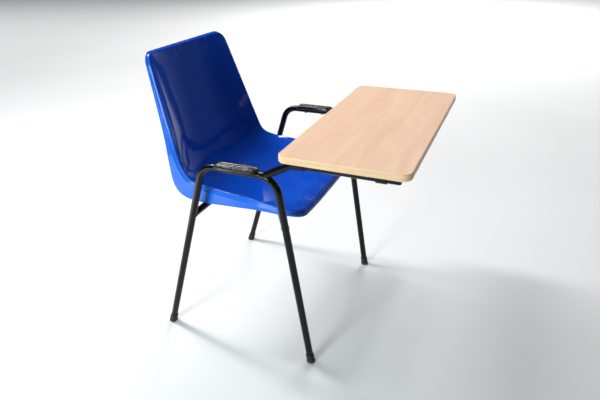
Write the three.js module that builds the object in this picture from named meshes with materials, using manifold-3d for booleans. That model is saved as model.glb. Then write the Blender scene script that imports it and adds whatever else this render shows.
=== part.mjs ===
// Student desk chair: a moulded bucket seat on two bent-tube side frames, with a writing board that
// lies across both desk rails and flips up about the sitter's right rail.
// Millimetres, +Z up, the sitter faces -Y, and the sitter's right hand is at -X. The floor is z = 0.

import * as THREE from 'three';
import { mergeVertices } from 'three/addons/utils/BufferGeometryUtils.js';
import Module from 'manifold-3d';

const wasm = await Module();
wasm.setup();

// ---------------------------------------------------------------- driving dimensions

const GAP = 0.3; // clearance between pieces that touch

const TUBE_R = 10; // all the frame is 20 x 1.5 round steel tube
const TUBE_WALL = 1.5;
const TUBE_SIDES = 12;

const FRAME_X = 272; // each side frame lies in the plane x = -272 or x = 272
const ARM_Z = 584.5; // centre line of the arm
const REAR_FOOT_Y = 321; // where the centre lines of the legs reach the floor
const FRONT_FOOT_Y = -171;
const ARM_REAR_Y = 135; // where the centre lines of leg and arm would cross, were they not bent
const ARM_FRONT_Y = -81;
const REAR_BEND = 50; // centre-line bend radii
const FRONT_BEND = 57;
const LEG_START = 8; // the tube starts this far up the leg, inside its rubber foot
const FOOT_R = 12.6;

const RAIL_Z = 628; // centre line of the desk rails, and the hinge axis of the board
const RAIL_LEAVES_Y = -26; // the rail is welded to the arm from here forward
const RAIL_RISES_Y = -48.5;
const RAIL_LEVEL_Y = -130;
const RAIL_END_Y = -394;
const RAIL_BENDS = [38, 45];

const REAR_BAR_Z = 424;
const FRONT_BAR_Z = 440;
const FRONT_BAR_Y = -50; // the front crossbar is bowed back, clear of the sitter's calves
const FRONT_BAR_BEND_X = 190;
const FRONT_BAR_BEND = 40;

const SHELL_WALL = 4;
const SHELL_FRONT_CORNER = 52; // plan radius of the seat's front corners
const SHELL_TOP_CORNER = 26; // and of the top corners of the back
const SHELL_BEAD = 7; // radius of the rolled rim
const SHELL_FLARE = 10; // how far the skirt stands outside the rim's crest
const SHELL_DISH = 3.2; // how square the bucket's cross-section is
const BACK_RECLINE = 16.7; // degrees that the top of the back leans from upright

const BOSS_R = 12.5;
const MOUNT_X = 110; // seat mounting points, left and right
const REAR_MOUNT_Y = 157;
const FRONT_MOUNT_Y = -22;
const TAB = { width: 32, thick: 3, beyondBolt: 15 };
const INSERT = { radius: 5.6, bore: 3.3, length: 8 }; // brass, for an M6 bolt
const BOLT = { shank: 3, head: 5.77, headThick: 4 };

const SCREW = { shank: 2, head: 3.8, headThick: 2.4, hole: 2.3 };

const PAD = { width: 37, rearY: 91, frontY: -32, ribs: 4 };
const PAD_Z = { skirt: 4.5, shoulder: 11.5, ridge: 14.4, valley: 12.8 }; // above the middle of the arm
const PAD_SCREW_INSET = { rear: 27, front: 36.5 };

const BOARD = { x0: -307.4, x1: 365.5, y0: -424, y1: -99.9, z0: 642.4, z1: 660.2, corner: 24 };
const LAMINATE = 0.8;
const EDGE_BAND = 2;
const SCREW_BITE = 10; // how far the screws go into the board's core

const HINGE_YS = [-150, -352]; // rear and front saddle straps on the right rail
const STRAP = { width: 26, thick: 2, reach: 29, screwX: 21.5 };
const BUFFER = { x0: 256, x1: 303, width: 26, screwX: 294 };

// The shell at stations from the front edge of the seat to the top of the back. centre is [y, z] of
// its deepest line, rim is [half width, y, z] of the crest of its side, skirt is the depth of the
// turned-down edge, and turn is the skirt's direction in degrees, from straight down to straight back.
const SHELL_STATIONS = [
  { centre: [-115, 454], rim: [224, -112, 463], skirt: 21, turn: -6 },
  { centre: [-80, 462], rim: [225, -78, 472], skirt: 18, turn: 0 },
  { centre: [-10, 459], rim: [225, -8, 483], skirt: 27, turn: 0 },
  { centre: [60, 454], rim: [225, 58, 488], skirt: 35, turn: 0 },
  { centre: [125, 450], rim: [225, 112, 493], skirt: 43, turn: 2 },
  { centre: [190, 457], rim: [224, 166, 498], skirt: 52, turn: 12 },
  { centre: [236, 496], rim: [225, 211, 513], skirt: 62, turn: 44 },
  { centre: [264, 555], rim: [228, 238, 563], skirt: 36, turn: 70 },
  { centre: [296, 643], rim: [217, 262, 643], skirt: 25, turn: 72 },
  { centre: [325, 748], rim: [203, 294, 748], skirt: 17, turn: 72 },
  { centre: [344, 839], rim: [189, 323, 845], skirt: 13, turn: 72 },
];

// ---------------------------------------------------------------- materials

const paint = new THREE.MeshStandardMaterial({ color: 0x0b0b0d, roughness: 0.22, metalness: 0.3 });
const shellBlue = new THREE.MeshStandardMaterial({ color: 0x0a2ea8, roughness: 0.12, metalness: 0 });
const padBlack = new THREE.MeshStandardMaterial({ color: 0x101012, roughness: 0.3, metalness: 0 });
const rubber = new THREE.MeshStandardMaterial({ color: 0x141414, roughness: 0.75, metalness: 0 });
const zinc = new THREE.MeshStandardMaterial({ color: 0xb9bcc0, roughness: 0.35, metalness: 0.9 });
const brass = new THREE.MeshStandardMaterial({ color: 0xb08d4a, roughness: 0.4, metalness: 0.9 });
const nylon = new THREE.MeshStandardMaterial({ color: 0x1c1c1e, roughness: 0.5, metalness: 0 });
const beech = new THREE.MeshStandardMaterial({ color: 0xeecbaf, roughness: 0.45, metalness: 0 });
const backing = new THREE.MeshStandardMaterial({ color: 0xd9cdbb, roughness: 0.6, metalness: 0 });
const chipboard = new THREE.MeshStandardMaterial({ color: 0xb99a72, roughness: 0.85, metalness: 0 });
const banding = new THREE.MeshStandardMaterial({ color: 0xf2dca6, roughness: 0.4, metalness: 0 });

// ---------------------------------------------------------------- solids

function toSolid(geometry) {
  const bare = geometry.clone();
  bare.deleteAttribute('normal');
  bare.deleteAttribute('uv');
  const merged = mergeVertices(bare, 1e-4);
  return new wasm.Manifold(new wasm.Mesh({
    numProp: 3,
    vertProperties: Float32Array.from(merged.attributes.position.array),
    triVerts: Uint32Array.from(merged.index.array),
  }));
}

function toGeometry(solid) {
  const mesh = solid.getMesh();
  const geometry = new THREE.BufferGeometry();
  geometry.setAttribute('position', new THREE.BufferAttribute(mesh.vertProperties, 3));
  geometry.setIndex(new THREE.BufferAttribute(mesh.triVerts, 1));
  geometry.computeVertexNormals();
  return geometry;
}

// A cut can leave slivers behind: only the biggest body is the piece.
function largestBody(solid) {
  return solid.decompose().reduce((best, body) => (body.volume() > best.volume() ? body : best));
}

function cut(geometry, ...tools) {
  const solid = tools.reduce((rest, tool) => rest.subtract(toSolid(tool)), toSolid(geometry));
  return toGeometry(largestBody(solid));
}

function uprightCylinder(radius, x, y, z0, z1, sides = 16) {
  const geometry = new THREE.CylinderGeometry(radius, radius, z1 - z0, sides);
  geometry.rotateX(Math.PI / 2);
  geometry.translate(x, y, (z0 + z1) / 2);
  return geometry;
}

function block(x0, x1, y0, y1, z0, z1) {
  const geometry = new THREE.BoxGeometry(x1 - x0, y1 - y0, z1 - z0);
  geometry.translate((x0 + x1) / 2, (y0 + y1) / 2, (z0 + z1) / 2);
  return geometry;
}

// Extrudes a shape drawn in the (x, z) plane from y1 down to y0.
function extrudeAlongY(shape, y0, y1, curveSegments = 8) {
  const geometry = new THREE.ExtrudeGeometry(shape, {
    depth: y1 - y0, bevelEnabled: false, curveSegments,
  });
  geometry.rotateX(Math.PI / 2);
  geometry.translate(0, y1, 0);
  return geometry;
}

// ---------------------------------------------------------------- bent tubes

// A path of straight runs joined by circular bends, with one step for each run and a few for each bend.
class BentPath extends THREE.Curve {
  constructor(corners, bendRadii, bendSteps = 6) {
    super();
    this.points = [corners[0]];
    this.tangents = [corners[1].clone().sub(corners[0]).normalize()];
    bendRadii.forEach((radius, i) => this.addBend(corners.slice(i, i + 3), radius, bendSteps));
    this.points.push(corners.at(-1));
    this.tangents.push(corners.at(-1).clone().sub(corners.at(-2)).normalize());
    this.steps = this.points.length - 1;
  }

  addBend([before, corner, after], radius, bendSteps) {
    const into = corner.clone().sub(before).normalize();
    const out = after.clone().sub(corner).normalize();
    const turn = into.angleTo(out);
    const start = corner.clone().addScaledVector(into, -radius * Math.tan(turn / 2));
    const inward = out.clone().addScaledVector(into, -into.dot(out)).normalize();
    for (let i = 0; i <= bendSteps; i += 1) {
      const angle = (turn * i) / bendSteps;
      this.points.push(start.clone()
        .addScaledVector(into, radius * Math.sin(angle))
        .addScaledVector(inward, radius * (1 - Math.cos(angle))));
      this.tangents.push(into.clone().multiplyScalar(Math.cos(angle))
        .addScaledVector(inward, Math.sin(angle)));
    }
  }

  getPoint(t, target = new THREE.Vector3()) {
    return target.copy(this.points[Math.round(t * this.steps)]);
  }

  getPointAt(u, target) {
    return this.getPoint(u, target);
  }

  getTangentAt(u, target = new THREE.Vector3()) {
    return target.copy(this.tangents[Math.round(u * this.steps)]);
  }
}

function circle(radius) {
  return new THREE.Path().absarc(0, 0, radius, 0, Math.PI * 2);
}

function sweep(path, outerR, innerR = 0) {
  const section = new THREE.Shape().absarc(0, 0, outerR, 0, Math.PI * 2);
  if (innerR > 0) section.holes.push(circle(innerR));
  return new THREE.ExtrudeGeometry(section, {
    steps: path.steps, extrudePath: path, curveSegments: TUBE_SIDES / 2, // a full circle takes two of each
  });
}

function tube(path) {
  return sweep(path, TUBE_R, TUBE_R - TUBE_WALL);
}

// The space a tube takes, with clearance, for cutting whatever is welded to it.
function tubeSpace(path, x = 0) {
  return sweep(path, TUBE_R + GAP).translate(x, 0, 0);
}

function legAt(footY, cornerY, z) {
  return footY + ((cornerY - footY) * z) / ARM_Z;
}

const legAxis = (footY, cornerY) => new THREE.Vector3(0, cornerY - footY, ARM_Z).normalize();

function sideFramePath() {
  const rearFoot = new THREE.Vector3(0, REAR_FOOT_Y, 0)
    .addScaledVector(legAxis(REAR_FOOT_Y, ARM_REAR_Y), LEG_START);
  const frontFoot = new THREE.Vector3(0, FRONT_FOOT_Y, 0)
    .addScaledVector(legAxis(FRONT_FOOT_Y, ARM_FRONT_Y), LEG_START);
  return new BentPath([
    rearFoot,
    new THREE.Vector3(0, ARM_REAR_Y, ARM_Z),
    new THREE.Vector3(0, ARM_FRONT_Y, ARM_Z),
    frontFoot,
  ], [REAR_BEND, FRONT_BEND]);
}

const framePath = sideFramePath();
const padScrewYs = [PAD.rearY - PAD_SCREW_INSET.rear, PAD.frontY + PAD_SCREW_INSET.front];

function sideFrame() {
  const holes = padScrewYs.map((y) => uprightCylinder(SCREW.hole, 0, y, ARM_Z - 15, ARM_Z + 15, 10));
  return cut(tube(framePath), ...holes);
}

function deskRail() {
  const path = new BentPath([
    new THREE.Vector3(0, RAIL_LEAVES_Y, ARM_Z),
    new THREE.Vector3(0, RAIL_RISES_Y, ARM_Z),
    new THREE.Vector3(0, RAIL_LEVEL_Y, RAIL_Z),
    new THREE.Vector3(0, RAIL_END_Y, RAIL_Z),
  ], RAIL_BENDS, 5);
  return cut(tube(path), tubeSpace(framePath));
}

// ---------------------------------------------------------------- crossbars and seat mounting

const rearBarY = legAt(REAR_FOOT_Y, ARM_REAR_Y, REAR_BAR_Z);

function crossbar(corners, bends) {
  const frames = [-FRAME_X, FRAME_X].map((x) => tubeSpace(framePath, x));
  return cut(tube(new BentPath(corners, bends, 4)), ...frames);
}

function rearCrossbar() {
  return crossbar([-FRAME_X, 0, FRAME_X].map((x) => new THREE.Vector3(x, rearBarY, REAR_BAR_Z)), []);
}

function frontCrossbar() {
  const legY = legAt(FRONT_FOOT_Y, ARM_FRONT_Y, FRONT_BAR_Z);
  return crossbar([
    new THREE.Vector3(-FRAME_X, legY, FRONT_BAR_Z),
    new THREE.Vector3(-FRONT_BAR_BEND_X, FRONT_BAR_Y, FRONT_BAR_Z),
    new THREE.Vector3(FRONT_BAR_BEND_X, FRONT_BAR_Y, FRONT_BAR_Z),
    new THREE.Vector3(FRAME_X, legY, FRONT_BAR_Z),
  ], [FRONT_BAR_BEND, FRONT_BAR_BEND]);
}

// The four places where the seat is bolted down: a tab on each crossbar, left and right.
const seatMounts = [];
for (const [side, x] of [['right', -MOUNT_X], ['left', MOUNT_X]]) {
  seatMounts.push({ name: `rear_${side}`, x, y: REAR_MOUNT_Y, barY: rearBarY, barZ: REAR_BAR_Z });
  seatMounts.push({ name: `front_${side}`, x, y: FRONT_MOUNT_Y, barY: FRONT_BAR_Y, barZ: FRONT_BAR_Z });
}
const tabTop = (mount) => mount.barZ + TAB.thick / 2;
const bossFoot = (mount) => tabTop(mount) + GAP;

function seatTab(mount) {
  const away = Math.sign(mount.y - mount.barY);
  const atBar = mount.barY + away * (TUBE_R + GAP);
  const atEnd = mount.y + away * TAB.beyondBolt;
  const plate = block(mount.x - TAB.width / 2, mount.x + TAB.width / 2,
    Math.min(atBar, atEnd), Math.max(atBar, atEnd), mount.barZ - TAB.thick / 2, tabTop(mount));
  const hole = uprightCylinder(BOLT.shank + 0.5, mount.x, mount.y, mount.barZ - 5, mount.barZ + 5);
  return cut(plate, hole);
}

function seatInsert(mount) {
  const z0 = bossFoot(mount) + GAP;
  const z1 = z0 + INSERT.length;
  const body = uprightCylinder(INSERT.radius, mount.x, mount.y, z0, z1);
  return cut(body, uprightCylinder(INSERT.bore, mount.x, mount.y, z0 - 1, z1 + 1));
}

function seatBolt(mount) {
  const headTop = mount.barZ - TAB.thick / 2 - GAP;
  const head = uprightCylinder(BOLT.head, mount.x, mount.y, headTop - BOLT.headThick, headTop, 6);
  const shank = uprightCylinder(BOLT.shank, mount.x, mount.y, headTop - 1, bossFoot(mount) + 7, 12);
  return toGeometry(toSolid(head).add(toSolid(shank)));
}

// ---------------------------------------------------------------- seat shell

const shellCentre = new THREE.CatmullRomCurve3(
  SHELL_STATIONS.map(({ centre }) => new THREE.Vector3(0, ...centre)), false, 'catmullrom');
const shellRim = new THREE.CatmullRomCurve3(
  SHELL_STATIONS.map(({ rim }) => new THREE.Vector3(...rim)), false, 'catmullrom');
const shellSkirt = new THREE.CatmullRomCurve3(
  SHELL_STATIONS.map(({ skirt, turn }) => new THREE.Vector3(skirt, turn, 0)), false, 'catmullrom');

// How much a rounded corner of the given radius narrows the shell at a distance from its end.
function cornerInset(radius, distance) {
  if (distance >= radius) return 0;
  return radius - Math.sqrt(radius ** 2 - (radius - distance) ** 2);
}

// One row across the shell: where it is, how wide it is, and which way its ends face.
function shellRow(t) {
  const rim = shellRim.getPoint(t);
  const fromFront = rim.distanceTo(shellRim.getPoint(0));
  const fromTop = rim.distanceTo(shellRim.getPoint(1));
  const inset = cornerInset(SHELL_FRONT_CORNER, fromFront) + cornerInset(SHELL_TOP_CORNER, fromTop);
  const facingFront = Math.max(0, 1 - fromFront / SHELL_FRONT_CORNER);
  const facingTop = Math.max(0, 1 - fromTop / SHELL_TOP_CORNER);
  return { t, rim, centre: shellCentre.getPoint(t), half: rim.x - inset, facingFront, facingTop };
}

function shellPoint(row, across) {
  const x = row.half * across;
  const rise = Math.abs(x / row.rim.x) ** SHELL_DISH;
  return new THREE.Vector3(
    x,
    THREE.MathUtils.lerp(row.centre.y, row.rim.y, rise),
    THREE.MathUtils.lerp(row.centre.z, row.rim.z, rise),
  );
}

const UP_THE_BACK = new THREE.Vector3(0, 0, 1)
  .applyAxisAngle(new THREE.Vector3(-1, 0, 0), THREE.MathUtils.degToRad(BACK_RECLINE));

// The way out of the shell, in its surface, at the end of a row or along the first or last row.
function shellOutward(row, across) {
  const endwise = Math.max(row.facingFront, row.facingTop);
  const sideways = Math.abs(across) < 1 ? 0 : Math.sqrt(1 - endwise ** 2) * across;
  const ahead = row.facingTop > 0
    ? UP_THE_BACK.clone().multiplyScalar(endwise)
    : new THREE.Vector3(0, -1, 0).multiplyScalar(endwise);
  return ahead.add(new THREE.Vector3(sideways, 0, 0));
}

// The rim's section as [out, down] pairs: a rolled bead, a shoulder, and the skirt below it.
function rimSection(depth) {
  const section = [30, 60, 90].map(THREE.MathUtils.degToRad)
    .map((angle) => [SHELL_BEAD * Math.sin(angle), SHELL_BEAD * (1 - Math.cos(angle))]);
  const below = depth - SHELL_BEAD;
  section.push([SHELL_FLARE - 0.5, SHELL_BEAD + 0.3 * below]);
  section.push([SHELL_FLARE, depth]);
  return section;
}

function shellSurface(rows, columns) {
  const points = [];
  const index = [];
  const grid = [];
  for (let i = 0; i <= rows; i += 1) {
    const row = shellRow(0.5 - 0.5 * Math.cos((Math.PI * i) / rows));
    grid.push([]);
    for (let j = 0; j <= columns; j += 1) {
      const across = Math.sin((Math.PI / 2) * ((2 * j) / columns - 1));
      grid[i].push(points.length);
      points.push({ at: shellPoint(row, across), row, across });
    }
  }
  for (let i = 0; i < rows; i += 1) {
    for (let j = 0; j < columns; j += 1) {
      index.push(grid[i][j], grid[i][j + 1], grid[i + 1][j + 1]);
      index.push(grid[i][j], grid[i + 1][j + 1], grid[i + 1][j]);
    }
  }
  let loop = [
    ...grid[0].slice(0, -1),
    ...grid.slice(0, -1).map((row) => row[columns]),
    ...grid[rows].slice(1).reverse(),
    ...grid.slice(1).reverse().map((row) => row[0]),
  ];
  const crest = loop.map((i) => points[i]);
  for (let ring = 0; ring < rimSection(0).length; ring += 1) {
    const next = crest.map(({ at, row, across }) => {
      const skirt = shellSkirt.getPoint(row.t);
      const turn = THREE.MathUtils.degToRad(skirt.y);
      const down = new THREE.Vector3(0, Math.sin(turn), -Math.cos(turn));
      const [out, drop] = rimSection(skirt.x)[ring];
      points.push({
        at: at.clone().addScaledVector(shellOutward(row, across), out).addScaledVector(down, drop),
      });
      return points.length - 1;
    });
    loop.forEach((a, k) => {
      const after = (k + 1) % loop.length;
      index.push(a, next[k], next[after], a, next[after], loop[after]);
    });
    loop = next;
  }
  return { points: points.map(({ at }) => at), index, edge: loop };
}

// Gives the sheet its wall: a second skin on the underside, joined to the first along the edge.
function thicken({ points, index, edge }, wall) {
  const sheet = new THREE.BufferGeometry().setFromPoints(points);
  sheet.setIndex(index);
  sheet.computeVertexNormals();
  const normal = new THREE.Vector3();
  const under = points.map((point, i) => {
    normal.fromBufferAttribute(sheet.attributes.normal, i);
    return point.clone().addScaledVector(normal, -wall);
  });
  const count = points.length;
  const faces = [...index];
  for (let i = 0; i < index.length; i += 3) {
    faces.push(index[i] + count, index[i + 2] + count, index[i + 1] + count);
  }
  edge.forEach((a, k) => {
    const b = edge[(k + 1) % edge.length];
    faces.push(a, a + count, b + count, a, b + count, b);
  });
  const solid = new THREE.BufferGeometry().setFromPoints([...points, ...under]);
  solid.setIndex(faces);
  return solid;
}

function seatShell() {
  let solid = toSolid(thicken(shellSurface(24, 16), SHELL_WALL));
  for (const mount of seatMounts) {
    const skin = underside(mount.x, mount.y);
    const boss = uprightCylinder(BOSS_R, mount.x, mount.y, bossFoot(mount), skin + 1.5, 20);
    solid = solid.add(toSolid(boss));
    const pocket = uprightCylinder(INSERT.radius + GAP, mount.x, mount.y,
      bossFoot(mount) - 1, bossFoot(mount) + INSERT.length + 2 * GAP);
    solid = solid.subtract(toSolid(pocket));
  }
  return toGeometry(largestBody(solid));
}

// Height of the shell's underside over a point of the seat.
function underside(x, y) {
  let low = 0;
  let high = 0.5;
  for (let i = 0; i < 30; i += 1) {
    const middle = (low + high) / 2;
    if (shellPoint(shellRow(middle), x / shellRow(middle).half).y < y) low = middle;
    else high = middle;
  }
  const row = shellRow(low);
  return shellPoint(row, x / row.half).z - SHELL_WALL;
}

// ---------------------------------------------------------------- arms and feet

// The pad's section in the (x, z) plane, about the tube's centre: sides, ribs on top, and a channel.
function padSection() {
  const half = PAD.width / 2;
  const pitch = PAD.width / PAD.ribs;
  const shape = new THREE.Shape();
  shape.moveTo(-half, PAD_Z.skirt);
  shape.lineTo(-half, PAD_Z.shoulder);
  for (let rib = 0; rib < PAD.ribs; rib += 1) {
    const left = -half + pitch * rib;
    shape.lineTo(left + 0.25 * pitch, PAD_Z.ridge);
    shape.lineTo(left + 0.75 * pitch, PAD_Z.ridge);
    if (rib < PAD.ribs - 1) shape.lineTo(left + pitch, PAD_Z.valley);
  }
  shape.lineTo(half, PAD_Z.shoulder);
  shape.lineTo(half, PAD_Z.skirt);
  const grip = Math.asin(PAD_Z.skirt / (TUBE_R + GAP));
  shape.absarc(0, 0, TUBE_R + GAP, grip, Math.PI - grip, false);
  shape.closePath();
  return shape;
}

function armrestPad() {
  const pad = extrudeAlongY(padSection(), PAD.frontY, PAD.rearY).translate(0, 0, ARM_Z);
  const pilots = padScrewYs.map((y) => uprightCylinder(SCREW.hole, 0, y, ARM_Z + 8, ARM_Z + 12, 10));
  return cut(pad, ...pilots);
}

// A pan-head screw driven up from below: its head ends at headTop, and its shank at tip.
function screw(x, y, headTop, tip) {
  const head = uprightCylinder(SCREW.head, x, y, headTop - SCREW.headThick, headTop, 14);
  const shank = uprightCylinder(SCREW.shank, x, y, headTop - 1, tip, 10);
  return toGeometry(toSolid(head).add(toSolid(shank)));
}

function padScrew(y) {
  return screw(0, y, ARM_Z - TUBE_R - GAP, ARM_Z + 11.7);
}

// A rubber cap round the end of a leg, cut off level with the floor.
function rubberFoot(footY, cornerY) {
  const profile = [
    [0, -10], [FOOT_R, -10], [FOOT_R, 4], [FOOT_R - 0.8, 12], [FOOT_R - 0.8, 27], [TUBE_R + GAP, 28],
    [TUBE_R + GAP, LEG_START - GAP], [0, LEG_START - GAP],
  ].map(([radius, along]) => new THREE.Vector2(radius, along));
  const cap = new THREE.LatheGeometry(profile, 24);
  const upright = new THREE.Vector3(0, 1, 0);
  cap.applyQuaternion(new THREE.Quaternion().setFromUnitVectors(upright, legAxis(footY, cornerY)));
  cap.translate(0, footY, 0);
  const aboveFloor = block(-40, 40, footY - 40, footY + 40, 0, 60);
  return toGeometry(toSolid(cap).intersect(toSolid(aboveFloor)));
}

function railEndCap() {
  const profile = [
    [0, -4], [6, -4], [9, -3], [TUBE_R, -1], [TUBE_R, -GAP], [TUBE_R - TUBE_WALL - GAP, -GAP],
    [TUBE_R - TUBE_WALL - GAP, 14], [0, 14],
  ].map(([radius, along]) => new THREE.Vector2(radius, along));
  return new THREE.LatheGeometry(profile, 20).translate(0, RAIL_END_Y, RAIL_Z);
}

// ---------------------------------------------------------------- writing board

function boardOutline(inset, target = new THREE.Shape()) {
  const [x0, x1] = [BOARD.x0 + inset, BOARD.x1 - inset];
  const [y0, y1] = [BOARD.y0 + inset, BOARD.y1 - inset];
  const radius = BOARD.corner - inset;
  target.absarc(x1 - radius, y0 + radius, radius, -Math.PI / 2, 0);
  target.absarc(x1 - radius, y1 - radius, radius, 0, Math.PI / 2);
  target.absarc(x0 + radius, y1 - radius, radius, Math.PI / 2, Math.PI);
  target.absarc(x0 + radius, y0 + radius, radius, Math.PI, 1.5 * Math.PI);
  target.closePath();
  return target;
}

function boardLayer(shape, z0, z1) {
  return new THREE.ExtrudeGeometry(shape, {
    depth: z1 - z0, bevelEnabled: false, curveSegments: 5,
  }).translate(0, 0, z0);
}

const coreZ0 = BOARD.z0 + LAMINATE + GAP;
const coreZ1 = BOARD.z1 - LAMINATE - GAP;
const insideBand = EDGE_BAND + GAP;

// Wood screws into the board from below: [name, x, y, z of the face that the head clamps].
const strapFace = BOARD.z0 - GAP - STRAP.thick;
const bufferFace = RAIL_Z + TUBE_R + GAP;
const boardScrews = [];
for (const [place, y] of [['rear', HINGE_YS[0]], ['front', HINGE_YS[1]]]) {
  boardScrews.push([`hinge_screw_${place}_outer`, -FRAME_X - STRAP.screwX, y, strapFace]);
  boardScrews.push([`hinge_screw_${place}_inner`, -FRAME_X + STRAP.screwX, y, strapFace]);
  boardScrews.push([`buffer_screw_${place}`, BUFFER.screwX, y, bufferFace]);
}

const screwHoles = () => boardScrews.map(([, x, y, face]) => (
  uprightCylinder(SCREW.hole, x, y, face - 5, coreZ0 + SCREW_BITE + 0.4, 10)));

function deskCore() {
  return cut(boardLayer(boardOutline(insideBand), coreZ0, coreZ1), ...screwHoles());
}

function deskUnderside() {
  return cut(boardLayer(boardOutline(insideBand), BOARD.z0, BOARD.z0 + LAMINATE), ...screwHoles());
}

function deskTop() {
  return boardLayer(boardOutline(insideBand), BOARD.z1 - LAMINATE, BOARD.z1);
}

function deskEdgeBand() {
  const ring = boardOutline(0);
  ring.holes.push(boardOutline(EDGE_BAND, new THREE.Path()));
  return boardLayer(ring, BOARD.z0, BOARD.z1);
}

// A pipe saddle strap: two ears screwed to the board, and a loop that carries the rail.
function hingeStrap(y) {
  const innerR = TUBE_R + 2 * GAP;
  const outerR = innerR + STRAP.thick;
  const top = BOARD.z0 - GAP - RAIL_Z;
  const shape = new THREE.Shape();
  shape.moveTo(-STRAP.reach, top);
  shape.lineTo(-innerR, top);
  shape.lineTo(-innerR, 0);
  shape.absarc(0, 0, innerR, Math.PI, 2 * Math.PI, false);
  shape.lineTo(innerR, top);
  shape.lineTo(STRAP.reach, top);
  shape.lineTo(STRAP.reach, top - STRAP.thick);
  shape.lineTo(outerR, top - STRAP.thick);
  shape.lineTo(outerR, 0);
  shape.absarc(0, 0, outerR, 0, -Math.PI, true);
  shape.lineTo(-outerR, top - STRAP.thick);
  shape.lineTo(-STRAP.reach, top - STRAP.thick);
  shape.closePath();
  const strap = extrudeAlongY(shape, y - STRAP.width / 2, y + STRAP.width / 2)
    .translate(-FRAME_X, 0, RAIL_Z);
  return cut(strap, ...screwHoles());
}

// The nylon bearing that fills the strap above the rail.
function hingeBearing(y) {
  const width = STRAP.width - 2;
  const body = block(-FRAME_X - TUBE_R, -FRAME_X + TUBE_R, y - width / 2, y + width / 2,
    RAIL_Z + 3, BOARD.z0 - GAP);
  const rail = new THREE.CylinderGeometry(TUBE_R + GAP, TUBE_R + GAP, width + 4, 32)
    .translate(-FRAME_X, y, RAIL_Z);
  return cut(body, rail);
}

function deskBuffer(y) {
  const pad = block(BUFFER.x0, BUFFER.x1, y - BUFFER.width / 2, y + BUFFER.width / 2,
    bufferFace, BOARD.z0 - GAP);
  return cut(pad, ...screwHoles());
}

// ---------------------------------------------------------------- assembly

const chair = new THREE.Group();

function add(name, geometry, material, x = 0) {
  const mesh = new THREE.Mesh(geometry, material);
  mesh.name = name;
  mesh.position.x = x;
  chair.add(mesh);
}

add('seat_shell', seatShell(), shellBlue);
add('rear_crossbar', rearCrossbar(), paint);
add('front_crossbar', frontCrossbar(), paint);
for (const mount of seatMounts) {
  add(`seat_tab_${mount.name}`, seatTab(mount), paint);
  add(`seat_insert_${mount.name}`, seatInsert(mount), brass);
  add(`seat_bolt_${mount.name}`, seatBolt(mount), zinc);
}

for (const [side, x] of [['right', -FRAME_X], ['left', FRAME_X]]) {
  add(`${side}_side_frame`, sideFrame(), paint, x);
  add(`${side}_desk_rail`, deskRail(), paint, x);
  add(`${side}_rail_end_cap`, railEndCap(), nylon, x);
  add(`${side}_armrest_pad`, armrestPad(), padBlack, x);
  add(`${side}_rear_foot`, rubberFoot(REAR_FOOT_Y, ARM_REAR_Y), rubber, x);
  add(`${side}_front_foot`, rubberFoot(FRONT_FOOT_Y, ARM_FRONT_Y), rubber, x);
  add(`${side}_pad_screw_rear`, padScrew(padScrewYs[0]), paint, x);
  add(`${side}_pad_screw_front`, padScrew(padScrewYs[1]), paint, x);
}

add('desk_core', deskCore(), chipboard);
add('desk_top_laminate', deskTop(), beech);
add('desk_underside_laminate', deskUnderside(), backing);
add('desk_edge_band', deskEdgeBand(), banding);
for (const [place, y] of [['rear', HINGE_YS[0]], ['front', HINGE_YS[1]]]) {
  add(`hinge_strap_${place}`, hingeStrap(y), paint);
  add(`hinge_bearing_${place}`, hingeBearing(y), nylon);
  add(`desk_buffer_${place}`, deskBuffer(y), rubber);
}
for (const [name, x, y, face] of boardScrews) {
  add(name, screw(x, y, face - GAP, coreZ0 + SCREW_BITE), zinc);
}

// The origin is on the floor, under the middle of the whole chair.
const middle = new THREE.Box3().setFromObject(chair).getCenter(new THREE.Vector3());
chair.position.set(-middle.x, -middle.y, 0);

export default chair;
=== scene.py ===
"""Student desk chair: the looks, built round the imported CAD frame.

Shapes are worked out in the design's own millimetres: x = 0 lies between the side frames, the sitter
faces -Y, the sitter's right hand is at -X and the floor is z = 0. to_row() turns them into the row's
metres. Positions come from the frame's boxes wherever a box can give them.
"""
import math

import bmesh
import bpy
import numpy as np
from mathutils import Matrix, Vector


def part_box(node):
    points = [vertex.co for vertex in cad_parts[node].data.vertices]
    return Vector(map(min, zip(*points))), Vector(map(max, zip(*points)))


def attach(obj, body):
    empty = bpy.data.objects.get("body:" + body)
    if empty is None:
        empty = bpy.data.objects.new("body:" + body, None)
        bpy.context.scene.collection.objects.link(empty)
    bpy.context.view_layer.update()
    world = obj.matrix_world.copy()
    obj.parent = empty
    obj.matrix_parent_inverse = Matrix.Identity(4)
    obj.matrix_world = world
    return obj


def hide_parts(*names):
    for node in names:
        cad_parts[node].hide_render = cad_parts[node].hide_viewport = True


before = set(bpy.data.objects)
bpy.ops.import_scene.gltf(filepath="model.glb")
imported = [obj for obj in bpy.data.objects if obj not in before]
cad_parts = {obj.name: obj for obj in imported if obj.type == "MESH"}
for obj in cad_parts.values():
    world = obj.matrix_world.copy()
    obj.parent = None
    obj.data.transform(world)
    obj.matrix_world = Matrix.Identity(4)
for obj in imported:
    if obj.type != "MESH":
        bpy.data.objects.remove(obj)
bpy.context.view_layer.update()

# ---------------------------------------------------------------- the frame, in millimetres

MM = 0.001
BOARD_REAR_Y = -99.9  # the rear edge of the board in the design's own coordinates


def middle(node):
    low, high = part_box(node)
    return (low + high) / 2


ORIGIN = Vector((
    (middle("right_side_frame").x + middle("left_side_frame").x) / 2,
    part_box("desk_edge_band")[1].y - BOARD_REAR_Y * MM,
    0,
))


def to_row(points):
    return np.asarray(points, float) * MM + np.array(ORIGIN)


def design_box(node):
    """A CAD node's lowest and highest corner, in the design's millimetres."""
    return [np.array((corner - ORIGIN) / MM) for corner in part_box(node)]


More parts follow.
